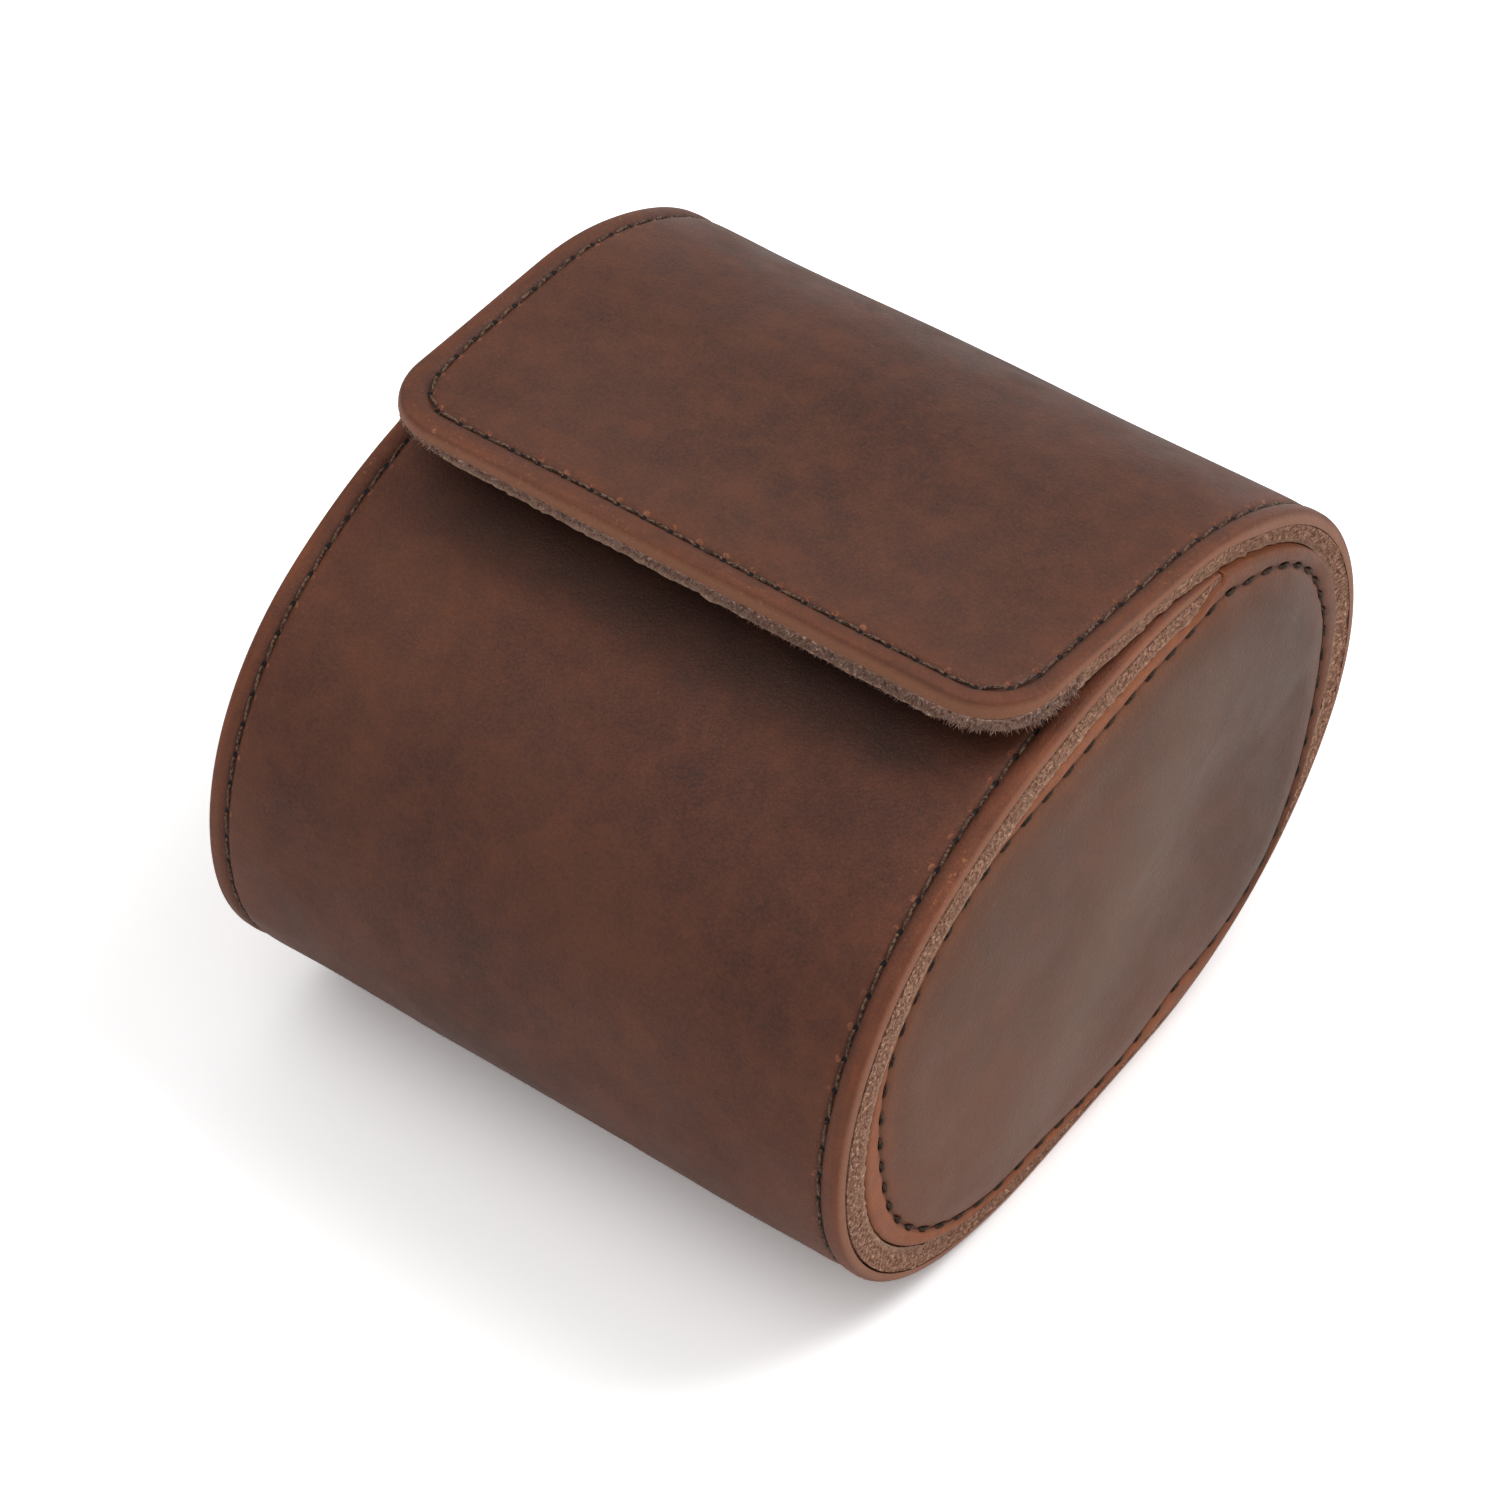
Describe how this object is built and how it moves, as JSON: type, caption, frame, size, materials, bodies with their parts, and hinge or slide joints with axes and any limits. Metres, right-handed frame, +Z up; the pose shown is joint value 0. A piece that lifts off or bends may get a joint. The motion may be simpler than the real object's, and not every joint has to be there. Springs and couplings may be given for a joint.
{
  "type": "leather watch case",
  "caption": "Rounded leather case for a wrist watch, with a curved hinged flap held by a hidden magnet, inset stitched end panels and a loose oval cushion inside.",
  "frame": {"origin": "on the surface that the case stands on, below the middle of the case", "axes": "+Z up, +Y from the front to the hinge side at the back, +X along the case to its right-hand end seen from the front"},
  "size_m": [0.0994, 0.1064, 0.0803],
  "materials": {
    "grain_leather": "dark brown oiled full-grain leather, satin with soft pull-up marks, raw cut edges",
    "panel_leather": "greyish brown smooth leather, satin, stretched over a board",
    "lining": "brown split leather with its suede side inwards, matt",
    "board": "pressed fibre stiffener board, hidden inside the wrap and the end panels",
    "thread": "dark brown waxed thread",
    "magnet": "nickel plated disc magnet, hidden under the flap's lining",
    "keeper": "plain steel disc, hidden under the front panel's lining",
    "cushion_cover": "brown microsuede, matt",
    "cushion_core": "soft foam block, hidden inside the cover"
  },
  "bodies": {
    "case": {"wrap_leather": "grain_leather", "wrap_board": "board", "wrap_lining": "lining", "lip_thread": "thread", "wrap_thread_left": "thread", "wrap_thread_right": "thread", "closure_keeper": "keeper", "end_panel_left": "panel_leather", "end_panel_right": "panel_leather", "end_board_left": "board", "end_board_right": "board", "end_lining_left": "lining", "end_lining_right": "lining", "end_thread_left": "thread", "end_thread_right": "thread"},
    "flap": {"flap_leather": "grain_leather", "flap_board": "board", "flap_lining": "lining", "flap_thread": "thread", "closure_magnet": "magnet"},
    "cushion": {"cushion_cover": "cushion_cover", "cushion_core": "cushion_core", "cushion_end_left": "cushion_cover", "cushion_end_right": "cushion_cover", "cushion_thread_left": "thread", "cushion_thread_right": "thread"}
  },
  "joints": [
    {"name": "flap_hinge", "type": "hinge", "parent": "case", "child": "flap", "pos_m": [0, 0.05068, 0.02718], "axis": [-1, 0, 0], "range_deg": [0, 140]},
    {"name": "cushion_lift", "type": "slide", "parent": "case", "child": "cushion", "axis": [0, 0, 1], "range_m": [0, 0.012]}
  ]
}
